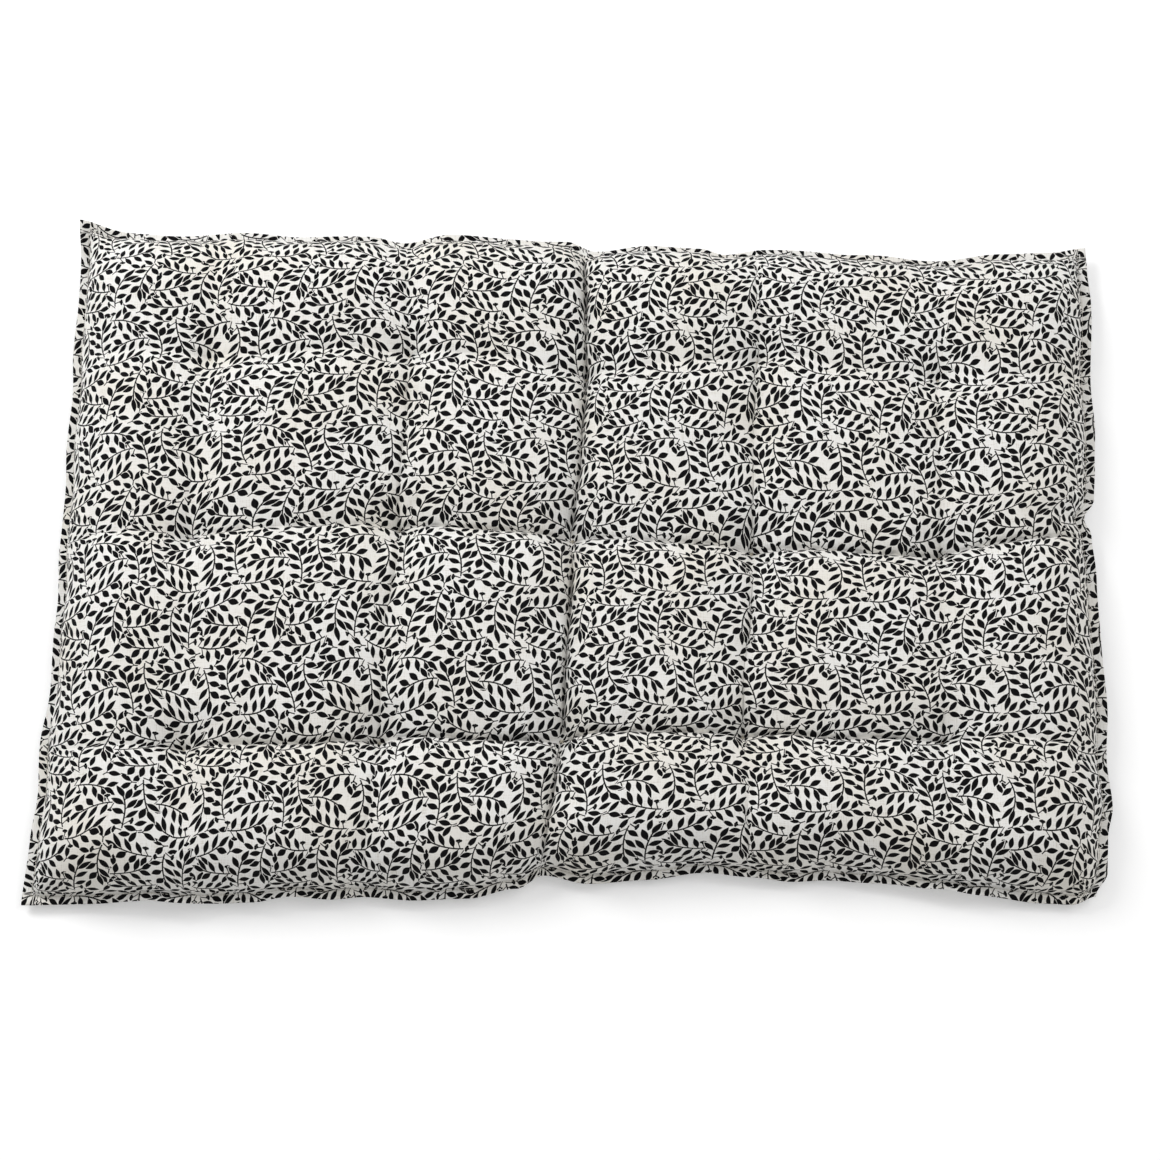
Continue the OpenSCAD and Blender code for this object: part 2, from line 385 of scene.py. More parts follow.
def under_height(x, y):
    """Outer face of the bottom cover: the flange's level outside, and inside a quarter ellipse down to
    the floor. There creases lift it by 0.3 of what a slack quilting has past 5 mm, and each tuft's
    dimple by 7 (1 - d / 45)^1.6 at d from the tuft."""
    ex, ey = seam_distance(x, y)
    rise = rise_from(ex, UNDER_ROUND) * rise_from(ey, UNDER_ROUND)
    level = flange_level(x, y) - 2 * CLOTH - 0.2
    lift = np.clip(quilting(x, y, 0.3) - 5, 0, None) * 0.3
    for row in ROWS:
        for column in COLUMNS:
            lift += 7 * valley(np.hypot(x - column, y - row), 45, 1.6)
    return level * (1 - rise) + lift * rise


def laid(x, y, height):
    """Points of a cover in metres, from its pattern's grid of x and y and its height over them."""
    px, py = plan(x, y)
    return np.stack([px, py, height], -1) * MM


# ---------------------------------------------------------------- meshes


def grid_faces(rows, columns, flip=False):
    """Quads of a rows by columns grid of points, wound so that they face up, or down if flipped."""
    index = np.arange(rows * columns).reshape(rows, columns)
    quads = np.stack([index[:-1, :-1], index[:-1, 1:], index[1:, 1:], index[1:, :-1]], -1)
    quads = quads.reshape(-1, 4)
    return quads[:, ::-1] if flip else quads


def piece_from(name, points, faces, material, maps=()):
    """A smooth mesh object at the origin from an array of points in metres and a list of faces. Each
    map is (name, u and v of every point)."""
    mesh = bpy.data.meshes.new(name)
    mesh.from_pydata(points.reshape(-1, 3).tolist(), [], faces)
    mesh.polygons.foreach_set("use_smooth", np.full(len(faces), True))
    for map_name, values in maps:
        layer = mesh.uv_layers.new(name=map_name)
        corner = np.empty(len(mesh.loops), int)
        mesh.loops.foreach_get("vertex_index", corner)
        layer.data.foreach_set("uv", values.reshape(-1, 2)[corner].astype(np.float32).ravel())
    mesh.materials.append(material)
    piece = bpy.data.objects.new(name, mesh)
    bpy.context.scene.collection.objects.link(piece)
    return piece


# How much larger the uncut cloth is than the laid one, each way.
FULLNESS = 1.04


def flat_pattern(points):
    """u and v in metres of a cover's uncut cloth: the distance between two grid lines is the mean of
    the distances between their points, so that the cloth is a little full in the creases."""
    across = np.linalg.norm(np.diff(points, axis=1), axis=2).mean(0)
    along = np.linalg.norm(np.diff(points, axis=0), axis=2).mean(1)
    u = np.concatenate([[0], np.cumsum(across)]) * FULLNESS
    v = np.concatenate([[0], np.cumsum(along)]) * FULLNESS
    return np.stack(np.meshgrid(u - u[-1] / 2, v - v[-1] / 2), -1)


def unit_square(lines_x, lines_y):
    """Each grid point's place in the cloth as numbers from 0 to 1 along both sides, kept 0.002 clear
    of both ends."""
    u = (lines_x - lines_x[0]) / (lines_x[-1] - lines_x[0])
    v = (lines_y - lines_y[0]) / (lines_y[-1] - lines_y[0])
    return np.stack(np.meshgrid(u, v), -1) * 0.996 + 0.002


# How many moments the cloth is given to settle, how far a point may then move, and in how many steps
# its hold is told.
SETTLE_FRAMES, MOVE_LIMIT, HOLD_STEPS = 18, 9.0, 50


def settle(points, flat, hold):
    """The cover's points after its cloth has found its own lie: a cloth as large as its flat pattern,
    stretched over the laid shape, pushed out by a light pressure and held at each point by its share
    of hold. No point moves more than MOVE_LIMIT."""
    rows, columns = points.shape[:2]
    cloth = piece_from("settling", points, grid_faces(rows, columns).tolist(), print_cotton)
    cloth.shape_key_add(name="laid")
    pattern = cloth.shape_key_add(name="pattern")
    uncut = np.zeros((rows * columns, 3), np.float32)
    uncut[:, :2] = flat.reshape(-1, 2)
    pattern.data.foreach_set("co", uncut.ravel())
    group = cloth.vertex_groups.new(name="held")
    share = np.round(hold.ravel() * HOLD_STEPS).astype(int)
    for step in np.unique(share[share > 0]):
        group.add(np.flatnonzero(share == step).tolist(), step / HOLD_STEPS, "REPLACE")
    modifier = cloth.modifiers.new("settling", "CLOTH")
    modifier.point_cache.frame_start, modifier.point_cache.frame_end = 1, SETTLE_FRAMES
    fabric = modifier.settings
    fabric.quality = 8
    fabric.mass = 0.05
    fabric.tension_stiffness = fabric.compression_stiffness = 40
    fabric.shear_stiffness = 12
    fabric.bending_stiffness = 0.02
    fabric.tension_damping = fabric.compression_damping = fabric.shear_damping = 2
    fabric.air_damping = 2
    fabric.vertex_group_mass = "held"
    fabric.pin_stiffness = 2
    fabric.use_pressure = True
    fabric.uniform_pressure_force = 5
    fabric.rest_shape_key = pattern
    fabric.effector_weights.gravity = 0
    modifier.collision_settings.use_collision = False
    scene = bpy.context.scene
    for moment in range(1, SETTLE_FRAMES + 1):
        scene.frame_set(moment)
    settled = cloth.evaluated_get(bpy.context.evaluated_depsgraph_get()).to_mesh()
    after = np.empty(rows * columns * 3)
    settled.vertices.foreach_get("co", after)
    scene.frame_set(1)
    bpy.data.objects.remove(cloth)
    move = after.reshape(points.shape) - points
    size = np.linalg.norm(move, axis=2, keepdims=True) / MM
    return points + move * np.minimum(1, MOVE_LIMIT / np.maximum(size, 1e-6))


# ---------------------------------------------------------------- materials


def passing(operation):
    """A Field's method that passes it, and what else it is given, through a Math node."""
    return lambda field, *others: field.through(operation, *others)


class Field:
    """A number that varies over the cloth, held as a shader socket. Sums, products, bounds and roots of
    fields become Math nodes, so that a pattern is written as plain arithmetic."""

    def __init__(self, tree, socket):
        self.tree, self.socket = tree, socket

    def through(self, operation, *others):
        """The field after a Math node of that operation, with the others on its further inputs."""
        step = self.tree.nodes.new("ShaderNodeMath")
        step.operation = operation
        for entry, value in zip(step.inputs, (self, *others)):
            if isinstance(value, Field):
                self.tree.links.new(value.socket, entry)
            else:
                entry.default_value = value
        return Field(self.tree, step.outputs[0])

    def __rsub__(self, other):
        return self.through("MULTIPLY_ADD", -1.0, other)

    def share(self, factor):
        """factor * field, held between 0 and 1."""
        made = self.through("MULTIPLY", factor)
        made.socket.node.use_clamp = True
        return made

    __add__ = __radd__ = passing("ADD")
    __mul__ = __rmul__ = passing("MULTIPLY")
    __sub__, __truediv__ = passing("SUBTRACT"), passing("DIVIDE")
    times_plus = passing("MULTIPLY_ADD")
    abs, floor, sqrt = passing("ABSOLUTE"), passing("FLOOR"), passing("SQRT")
    sin, cos, atan2 = passing("SINE"), passing("COSINE"), passing("ARCTAN2")
    min, max = passing("MINIMUM"), passing("MAXIMUM")
    less, mod = passing("LESS_THAN"), passing("FLOORED_MODULO")


# One sprig of the print: length of its stem, distance between two leaves on a side, and how far the
# middle leaf of a side leans from the stem. The print repeats by REPEAT_X and REPEAT_Y, and all these
# lengths are in its own units, each of PRINT_SCALE millimetres.
STEM, LEAF_PITCH, LEAN = 30.5, 9.3, 0.96
REPEAT_X, REPEAT_Y, PRINT_SCALE = 165.0, 124.0, 1.19
# Angle between two rays of an umbel, their length, and how far an umbel stands off the stem.
RAY_TURN, RAY_LENGTH, UMBEL_OUT = 0.62, 3.0, 5.4
# Distance over which the weave's wave repeats, in the print's units: two threads of the cloth.
WEAVE = 0.9


def leaf_form(along, across, length, width):
    """Positive inside a leaf that starts at along = 0. With q = 2 along / length - 1, it is
    width / 2 (1 - q^2)(1 - 0.1 q^2)(1 - 0.12 q) - |across|, the last two q held to 1 beyond its ends."""
    q = along.times_plus(2 / length, -1)
    square = q * q
    taper = along.share(1 / length).times_plus(-0.12 * width, 0.56 * width)
    form = square.times_plus(-1, 1) * square.min(1).times_plus(-0.1, 1) * taper
    return form - across.abs()


def stroke(along, across, end, half):
    """Positive inside a straight stroke from along = 0 to end, half wide on either side."""
    return along.min(end - along).min(half - across.abs())


def sprig_form(x, y, bend):
    """Positive inside a sprig whose stem leaves (0, 0) along x, bowed by bend: the stem, a leaf at its
    tip, three leaves on each side on short stalks, and two umbels of three seeds near its foot. The
    nearer a side leaf is to the tip, the larger it is and the less it leans."""
    y = y - bend * (x * x.times_plus(-4 / STEM**2, 4 / STEM))
    shape = stroke(x, y, STEM + 2, 0.58).max(leaf_form(x - (STEM + 0.6), y, 13.6, 5.5))
    below, away = y.less(0), y.abs()
    start = below.times_plus(-LEAF_PITCH / 2, x - 4.2)
    number = away.times_plus(-1 / (math.tan(LEAN) * LEAF_PITCH), start.times_plus(1 / LEAF_PITCH, 0.5))
    number = number.floor().max(0).min(2)
    here = number.times_plus(-LEAF_PITCH, start)
    lean = number.times_plus(-0.16, 1.11)
    cosine, sine = lean.cos(), lean.sin()
    along = here * cosine + away * sine
    across = here * sine - away * cosine
    size = number.times_plus(0.05, 0.95)
    shape = shape.max(leaf_form((along - 1.5) / size, across / size, 13.0, 5.25))
    shape = shape.max(stroke(along, across, 3.2, 0.4))
    side, out = below.times_plus(-4.6, x - 1), away - UMBEL_OUT
    radius = (side * side + out * out).sqrt()
    angle = side.atan2(out)
    ray = angle.times_plus(1 / RAY_TURN, 0.5).floor().max(-1).min(1)
    off = ray.times_plus(-RAY_TURN, angle)
    rim = radius - RAY_LENGTH
    seeds = 1.2 - (rim * rim + (off * off) * RAY_LENGTH**2).sqrt()
    rays = (0.42 - (off * radius).abs()).min(RAY_LENGTH - radius)
    stalk = stroke(away, out.times_plus(-0.5, side), UMBEL_OUT, 0.42)
    return shape.max(seeds).max(rays).max(stalk)


def pick(p, q, both, values):
    """values[q][p] for p and q that are 0 or 1, as a + b p + c q + d p q; both is p q."""
    (a, b), (c, d) = values
    return p.times_plus(b - a, q.times_plus(c - a, both.times_plus(d - c - b + a, a)))


# The families of sprigs. Each has one sprig in every half repeat, and odd rows stand half a cell over:
# (left, low, scale, offsets in x, in y, turns in degrees, bows), the last four by row and column.
SPRIG_FAMILIES = (
    (-1, 0, 0.975, ((0, 0), (-1, 0)), ((0, 1), (1, 0)),
     ((77, -99), (-80, 103)), ((2.4, -2.6), (2.4, -2))),
    (20, 6, 0.975, ((2, 1), (1, 0)), ((0, -1), (1, 0)),
     ((-106, 79), (101, -74)), ((-2.4, 2.6), (2.8, -2.8))),
    (50, 0, 0.95, ((1, 1), (0, -1)), ((1, 0), (0, 1)),
     ((11, 169), (191, -11)), ((-2.4, 2.2), (-2, 2.6))),
    (50, 21.5, 0.95, ((1, 3), (1, 0)), ((0, 0), (0, 1)),
     ((170, 11), (-12, 190)), ((2.2, -2.4), (2.4, -2))),
    (50, -21.5, 0.95, ((0, -1), (0, 1)), ((1, 0), (1, 1)),
     ((190, -11), (13, 170)), ((2.2, -2), (-2.6, 2.4))),
)
# Small twigs of two leaves, and then single leaves, in the gaps between the sprigs: (left, low,
# offsets in x, in y, turns).
TWIG_FAMILIES = (
    (41, -34, ((-15, -20), (30, -13)), ((8, 10), (10, 12)), ((20, 185), (82, 10))),
    (0, -34, ((8, -7), (3, 14)), ((10, 8), (11, 10)), ((-50, 170), (15, 200))),
    (41, -34, ((-1, 10), (-6, -2)), ((-4, -4), (-7, 1)), ((175, 10), (40, 190))),
    (0, 0, ((28, 33), (13, 30)), ((-10, -4), (-21, 24)), ((80, 80), (20, 170))),
)
LEAF_FAMILIES = (
    (0, 0, ((10, 21), (26, 20)), ((24, 22), (-24, -15)), ((160, 70), (0, 20))),
    (0, 0, ((36, 11), (-15, -15)), ((12, 25), (13, 22)), ((80, 10), (120, 10))),
    (0, 0, ((9, 7), (33, 7)), ((-13, -23), (12, -26)), ((60, 20), (50, 0))),
    (0, 31, ((23, 35), (26, 8)), ((-2, 2), (1, -4)), ((150, 40), (0, 50))),
)


def brick_cell(x, y, left, low, offset_x, offset_y, turns):
    """The point's place from the motif of its cell in a brick lattice, along and across that motif,
    and its cell's parity along x, along y and in both. left and low are the middle of a cell and its
    foot. The motif stands turned by its angle t, so along = dx cos t + dy sin t, and across =
    dy cos t - dx sin t."""
    cell_x, cell_y = REPEAT_X / 2, REPEAT_Y / 2
    down = y.times_plus(1 / cell_y, -low / cell_y)
    row = down.floor()
    q = row.mod(2)
    over = q.times_plus(0.5, x.times_plus(1 / cell_x, 0.5 - left / cell_x))
    column = over.floor()
    p = column.mod(2)
    both = p * q
    dx = (over - column).times_plus(cell_x, -cell_x / 2) - pick(p, q, both, offset_x)
    dy = (down - row).times_plus(cell_y, -cell_y / 2) - pick(p, q, both, offset_y)
    turn = pick(p, q, both, [[math.radians(t) for t in pair] for pair in turns])
    c, s = turn.cos(), turn.sin()
    return dx * c + dy * s, dy * c - dx * s, (p, q, both)


def sprig_family(x, y, left, low, scale, offset_x, offset_y, turns, bows):
    """Positive inside a family's sprigs, each 44 long times its scale and centred in its cell."""
    along, across, parity = brick_cell(x, y, left, low, offset_x, offset_y, turns)
    bow = pick(*parity, bows)
    return sprig_form(along.times_plus(1 / scale, 22), across.times_plus(1 / scale, 0), bow)


def twig_family(x, y, left, low, offset_x, offset_y, turns):
    """Positive inside a family's twigs: two leaves on a short stem, each 34 degrees off its line."""
    x, y, _ = brick_cell(x, y, left, low, offset_x, offset_y, turns)
    x, away = x + 5, y.abs()
    part = 0.6
    along = x.times_plus(math.cos(part), away * math.sin(part))
    across = x.times_plus(math.sin(part), away * -math.cos(part))
    stem = stroke(x.times_plus(-1, 0), y, 4.0, 0.4).max(stroke(along + 0.2, across, 2.8, 0.34))
    return stem.max(leaf_form(along - 1.5, across, 12.4, 4.95))


def leaf_family(x, y, left, low, offset_x, offset_y, turns):
    """Positive inside a family's single leaves, each centred in its cell."""
    x, y, _ = brick_cell(x, y, left, low, offset_x, offset_y, turns)
    return leaf_form(x + 5.7, y, 11.4, 4.8)


def leaf_print(x, y):
    """The whole print, positive where there is ink: the families laid one after another, each kept 1
    clear of those before it, as min(new, -1 - old). First (x, y) drifts by 1.5 times
    (sin(y / 13), sin(x / 17)), so that the repeat isn't stiff."""
    x, y = x + (y * (1 / 13)).sin() * 1.5, y + (x * (1 / 17)).sin() * 1.5
    ink = sprig_family(x, y, *SPRIG_FAMILIES[0])
    later = [(sprig_family, family) for family in SPRIG_FAMILIES[1:]]
    later += [(twig_family, family) for family in TWIG_FAMILIES]
    later += [(leaf_family, family) for family in LEAF_FAMILIES]
    for family_form, family in later:
        ink = ink.max(family_form(x, y, *family).min(ink.times_plus(-1, -1)))
    return ink


def new_material(name):
    """An empty node material with its shader: (material, tree, shader)."""
    material = bpy.data.materials.new(name)
    material.use_nodes = True
    tree = material.node_tree
    return material, tree, tree.nodes["Principled BSDF"]


def node(tree, kind, **settings):
    """A new node with its settings; a setting named in_SOCKET is that input's value."""
    made = tree.nodes.new("ShaderNode" + kind)
    for key, value in settings.items():
        if key.startswith("in_"):
            made.inputs[key[3:]].default_value = value
        else:
            setattr(made, key, value)
    return made


def srgb(r, g, b):
    """Linear colour from one written as 0 to 255."""
    return [((v / 255 + 0.055) / 1.055) ** 2.4 for v in (r, g, b)] + [1.0]


def noise(tree, place, scale, detail=2.0, roughness=0.5):
    """A noise field over a place, scale being lumps per unit of it."""
    made = node(tree, "TexNoise", in_Scale=scale, in_Detail=detail, in_Roughness=roughness)
    tree.links.new(place, made.inputs["Vector"])
    return made.outputs["Fac"]


def blend_colours(tree, share, first, second):
    """Mix of two colours or colour sockets by a share that is a socket or a number."""
    mix = node(tree, "Mix", data_type="RGBA")
    for entry, value in ((mix.inputs[0], share), (mix.inputs[6], first), (mix.inputs[7], second)):
        if isinstance(value, bpy.types.NodeSocket):
            tree.links.new(value, entry)
        else:
            entry.default_value = value
    return mix.outputs[2]


def spread(tree, socket, low, high, to_low=0.0, to_high=1.0):
    """The socket's range low..high stretched to to_low..to_high and clamped there."""
    made = node(tree, "MapRange")
    tree.links.new(socket, made.inputs["Value"])
    for key, value in zip(("From Min", "From Max", "To Min", "To Max"), (low, high, to_low, to_high)):
        made.inputs[key].default_value = value
    return made.outputs["Result"]


def two_fields(tree, vector):
    """The first two numbers of a vector socket, as fields."""
    parts = node(tree, "SeparateXYZ")
    tree.links.new(vector, parts.inputs[0])
    return Field(tree, parts.outputs["X"]), Field(tree, parts.outputs["Y"])


def set_relief(tree, shader, height, strength, depth):
    """Bumps on the shader's surface from a height socket; depth is in metres."""
    bump = node(tree, "Bump", in_Strength=strength, in_Distance=depth)
    tree.links.new(height, bump.inputs["Height"])
    tree.links.new(bump.outputs[0], shader.inputs["Normal"])


def printed_cotton():
    """Plain-woven cream cotton with the black leaf print. The print, the warp and weft and the slubs
    follow the cloth's own map in metres; soft warm clouds tint the cream and the ink is a little worn.
    The weave's height is sin(2 pi x / WEAVE) sin(2 pi y / WEAVE)."""
    material, tree, shader = new_material("printed_cotton")
    chart = node(tree, "UVMap", uv_map="print").outputs["UV"]
    x, y = (field * (1 / MM / PRINT_SCALE) for field in two_fields(tree, chart))
    ragged = Field(tree, noise(tree, chart, 900, 1.0))
    ink = leaf_print(x, y) + ragged.times_plus(0.24, 0.02)
    covered = spread(tree, ink.socket, -0.1, 0.1)
    clouds = noise(tree, chart, 9, 2.0)
    cream = blend_colours(
        tree, spread(tree, clouds, 0.42, 0.72), srgb(239, 238, 235), srgb(234, 230, 221)
    )
    slubs_warp = node(tree, "Mapping", in_Scale=(900, 60, 1))
    slubs_weft = node(tree, "Mapping", in_Scale=(60, 900, 1))
    threads = []
    for stretched in (slubs_warp, slubs_weft):
        tree.links.new(chart, stretched.inputs["Vector"])
        threads.append(Field(tree, noise(tree, stretched.outputs[0], 1.0, 1.0)))
    slub = threads[0].times_plus(0.5, threads[1] * 0.5)
    cream = blend_colours(tree, spread(tree, slub.socket, 0.5, 0.7), cream, srgb(214, 209, 199))
    worn = blend_colours(tree, spread(tree, slub.socket, 0.35, 0.7), srgb(6, 6, 7), srgb(22, 21, 23))
    colour = blend_colours(tree, covered, cream, worn)
    tree.links.new(colour, shader.inputs["Base Color"])
    weave = (x * (2 * math.pi / WEAVE)).sin() * (y * (2 * math.pi / WEAVE)).sin()
    set_relief(tree, shader, weave.times_plus(0.25, slub).socket, 0.35, 0.0003)
    tree.links.new(spread(tree, covered, 0, 1, 0.86, 0.72), shader.inputs["Roughness"])
    shader.inputs["Specular IOR Level"].default_value = 0.04
    shader.inputs["Sheen Weight"].default_value = 0.01
    shader.inputs["Sheen Roughness"].default_value = 0.5
    return material


def batting_cotton(name, light, dark, scale):
    """Carded cotton: matted fibres drawn out along x in clouds of two tones, with a soft fuzzy sheen."""
    material, tree, shader = new_material(name)
    place = node(tree, "TexCoord").outputs["Object"]
    drawn = node(tree, "Mapping", in_Scale=(0.35, 1, 1))
    tree.links.new(place, drawn.inputs["Vector"])
    fibres = noise(tree, drawn.outputs[0], scale * 12, 5.0, 0.7)
    clouds = noise(tree, place, scale, 3.0)
    colour = blend_colours(tree, spread(tree, clouds, 0.35, 0.65), light, dark)
    colour = blend_colours(tree, spread(tree, fibres, 0.45, 0.75, 0, 0.35), colour, dark)
    tree.links.new(colour, shader.inputs["Base Color"])
    set_relief(tree, shader, fibres, 0.6, 0.002)
    shader.inputs["Roughness"].default_value = 0.95
    shader.inputs["Specular IOR Level"].default_value = 0.1
    shader.inputs["Sheen Weight"].default_value = 0.3
    return material


def twisted_thread(name, light, dark, turns):
    """Thread of three strands: painted shade, the dark colour, fills the grooves between them and winds
    round it, by its own map with u along in metres and v round, as the sine of 2 pi (turns u + 3 v)."""
    material, tree, shader = new_material(name)
    u, v = two_fields(tree, node(tree, "UVMap", uv_map="print").outputs["UV"])
    strand = (u.times_plus(turns, v * 3.0) * (2 * math.pi)).sin()
    # Painted shade: the thread takes its dark colour in the grooves between the strands, where the wave
    # is lowest.
    colour = blend_colours(tree, spread(tree, strand.socket, -1, -0.2), dark, light)
    tree.links.new(colour, shader.inputs["Base Color"])
    set_relief(tree, shader, strand.socket, 0.7, 0.0003)
    shader.inputs["Roughness"].default_value = 0.6
    shader.inputs["Sheen Weight"].default_value = 0.2
    return material


print_cotton = printed_cotton()
# The second colour of each thread is the painted shade of the grooves between its strands.
seam_cotton = twisted_thread("seam_thread", srgb(226, 221, 208), srgb(176, 170, 156), 260)
tie_twine = twisted_thread("waxed_twine", srgb(222, 214, 194), srgb(160, 150, 128), 180)
soft_batting = batting_cotton("carded_batting", srgb(240, 235, 222), srgb(219, 210, 190), 24)
firm_batting = batting_cotton("needled_core", srgb(222, 214, 196), srgb(192, 182, 160), 40)


# ---------------------------------------------------------------- covers


def hold_share(x, y):
    """How firmly each point of a cover stays put while the cloth settles: the greatest of 0.02, of
    0.5 e^(-d / 4) near a crease, 0.9 e^(-(d / 9)^2) near the fold and e^(-(d / 5)^2) near a tuft, and
    of 1 from half a millimetre inside the seam outwards."""
    ex, ey = seam_distance(x, y)
    to_column = np.min([np.abs(x - c) for c in COLUMNS], 0)
    to_row = np.min([np.abs(y - r) for r in ROWS], 0)
    to_tuft = np.min([np.hypot(x - c, y - r) for c in COLUMNS for r in ROWS], 0)
    crease = 0.5 * np.exp(-np.minimum(to_column, to_row) / 4)
    fold = 0.9 * np.exp(-((np.abs(x - COLUMNS[COLUMN_COUNT // 2]) / 9) ** 2))
    tuft = np.exp(-((to_tuft / 5) ** 2))
    edge = (np.minimum(ex, ey) < 0.5) * 1.0
    return np.max([np.full_like(x, 0.02), crease, fold, tuft, edge], 0)


def cover(name, height, lines_x, lines_y, facing_down):
    """One cover of the case: laid, settled if it faces up, and given its thickness inwards. Returns the
    piece and its outer points by grid row and column."""
    x, y = np.meshgrid(lines_x, lines_y)
    points = laid(x, y, height(x, y))
    flat = flat_pattern(points)
    if not facing_down:
        points = settle(points, flat, hold_share(x, y))
    maps = (("print", flat), ("OFBake", unit_square(lines_x, lines_y)))
    faces = grid_faces(*x.shape, flip=facing_down).tolist()
    piece = piece_from(name, points, faces, print_cotton, maps)
    wall = piece.modifiers.new("cloth", "SOLIDIFY")
    wall.thickness, wall.offset = CLOTH * MM, -1
    wall.use_even_offset = False
    return piece, points


top_lines = (
    grid_lines(COLUMNS, SEAM_X, HALF_LENGTH, 7.5),
    grid_lines(ROWS, SEAM_Y, HALF_WIDTH, 7.5),
)
under_lines = (
    finer_at_fold(grid_lines(COLUMNS, SEAM_X, HALF_LENGTH, 14, 2.5, 1.4)),
    grid_lines(ROWS, SEAM_Y, HALF_WIDTH, 14, 2.5, 1.4),
)
top_cover, top_points = cover("top_cover", top_height, *top_lines, False)
bottom_cover, under_points = cover("bottom_cover", under_height, *under_lines, True)
for piece, side in ((top_cover, "top"), (bottom_cover, "bottom")):
    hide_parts(f"{side}_cover_left", f"{side}_cover_right")
    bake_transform(piece)


def between_lines(points, lines_x, lines_y, x, y):
    """A cover's points read off at any pattern places x and y: bilinear between its grid lines."""
    i = np.clip(np.searchsorted(lines_x, x) - 1, 0, len(lines_x) - 2)
    j = np.clip(np.searchsorted(lines_y, y) - 1, 0, len(lines_y) - 2)
    u = ((x - lines_x[i]) / (lines_x[i + 1] - lines_x[i]))[..., None]
    v = ((y - lines_y[j]) / (lines_y[j + 1] - lines_y[j]))[..., None]
    near = points[j, i] * (1 - u) + points[j, i + 1] * u
    far = points[j + 1, i] * (1 - u) + points[j + 1, i + 1] * u
    return near * (1 - v) + far * v


# ---------------------------------------------------------------- battings

# How far in from the seam the cotton ends, how round its edge is, and the room it leaves inside the
# cloth above and below, in millimetres.
BATTING_INSET, BATTING_ROUND = 14.0, 16.0
ROOM_ABOVE, ROOM_BELOW = 1.2, 0.3
# Each layer: name, the shares of the height it lies between, slot, material and seed.
BATTINGS = (
    ("lower_batting", 0.0, 0.3, "carded_cotton", soft_batting, 11),
    ("core_batting", 0.3, 0.7, "core_cotton", firm_batting, 12),
    ("upper_batting", 0.7, 1.0, "carded_cotton", soft_batting, 13),
)


def batting(name, low_share, high_share, slot, material, seed):
    """One layer of cotton as a closed pad. Its faces lie at shares of the way from the bottom cover to
    the top cover, less the cloth, and come together at its edge by sqrt(1 - (1 - d / 16)^2), with d the
    distance in from the edge. Matted tufts of fibre make both faces uneven."""
    lines_x, lines_y = (
        grid_lines(marks, seam - BATTING_INSET, seam - BATTING_INSET + 1, 15, 5, 1.4)[4:-4]
        for marks, seam in ((COLUMNS, SEAM_X), (ROWS, SEAM_Y))
    )
    lines_x = finer_at_fold(lines_x)
    x, y = np.meshgrid(lines_x, lines_y)
    roof = between_lines(top_points, *top_lines, x, y)
    ground = between_lines(under_points, *under_lines, x, y)
    roof[..., 2] -= (CLOTH + ROOM_ABOVE) * MM
    ground[..., 2] += (CLOTH + ROOM_BELOW) * MM
    inwards = np.minimum(lines_x[-1] - np.abs(x), lines_y[-1] - np.abs(y))
    plump = rise_from(inwards, BATTING_ROUND)[..., None]
    low = ground + (roof - ground) * low_share
    high = ground + (roof - ground) * high_share
    middle, half = (low + high) / 2, (high - low) / 2 * plump
    half[..., 2] *= 1 - 0.04 * (1 + lumps(x, y, 9, seed))
    half[..., 2] -= 0.15 * MM * plump[..., 0]
    rows, columns = x.shape
    rim = np.zeros((rows, columns), bool)
    rim[[0, -1]] = rim[:, [0, -1]] = True
    above = np.arange(rows * columns).reshape(rows, columns)
    below = np.where(rim, above, above + rows * columns)
    faces_up = grid_faces(rows, columns)
    faces_down = below.ravel()[faces_up[:, ::-1]]
    points = np.concatenate([(middle + half).reshape(-1, 3), (middle - half).reshape(-1, 3)])
    used, faces = np.unique(np.concatenate([faces_up, faces_down]), return_inverse=True)
    pad = piece_from(name, points[used], faces.reshape(-1, 4).tolist(), material)
    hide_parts(name + "_left", name + "_right")
    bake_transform(pad)


for layer in BATTINGS:
    batting(*layer)


# ---------------------------------------------------------------- twine ties and seam stitches


def tube(path, side, radius, sides):
    """Points, faces and map of a round thread along a path: centre + r (cos a n1 + sin a n2), with n1
    square to the path and nearest to side, and n2 square to both. A fan to a point 0.6 r past it
    closes each end. The map holds length along the thread in metres, and its turn round."""
    tangent = np.gradient(path, axis=0)
    tangent /= np.linalg.norm(tangent, axis=1, keepdims=True)
    first = side - (side * tangent).sum(1, keepdims=True) * tangent
    first /= np.linalg.norm(first, axis=1, keepdims=True)
    second = np.cross(tangent, first)
    angle = np.linspace(0, 2 * np.pi, sides, endpoint=False)
    ring = first[:, None] * np.cos(angle)[:, None] + second[:, None] * np.sin(angle)[:, None]
    count = len(path)
    points = path[:, None] + ring * np.reshape(radius, (-1, 1, 1))
    index = np.arange(count * sides).reshape(count, sides)
    turned = np.roll(index, -1, 1)
    quads = np.stack([index[:-1], turned[:-1], turned[1:], index[1:]], -1).reshape(-1, 4)
    step = np.linalg.norm(np.diff(path, axis=0), axis=1)
    length = np.concatenate([[0], np.cumsum(step)])
    chart = np.stack(np.broadcast_arrays(length[:, None], angle / (2 * np.pi)), -1)
    ends = np.stack([path[0] - tangent[0] * radius[0] * 0.6, path[-1] + tangent[-1] * radius[-1] * 0.6])
    first_fan = np.stack([turned[0], index[0], np.full(sides, count * sides)], -1)
    last_fan = np.stack([index[-1], turned[-1], np.full(sides, count * sides + 1)], -1)
    fans = np.concatenate([first_fan, last_fan])
    return (
        np.concatenate([points.reshape(-1, 3), ends]),
        [tuple(f) for f in quads.tolist()] + [tuple(f) for f in fans.tolist()],
        np.concatenate([chart.reshape(-1, 2), [[0, 0], [length[-1], 0]]]),
    )


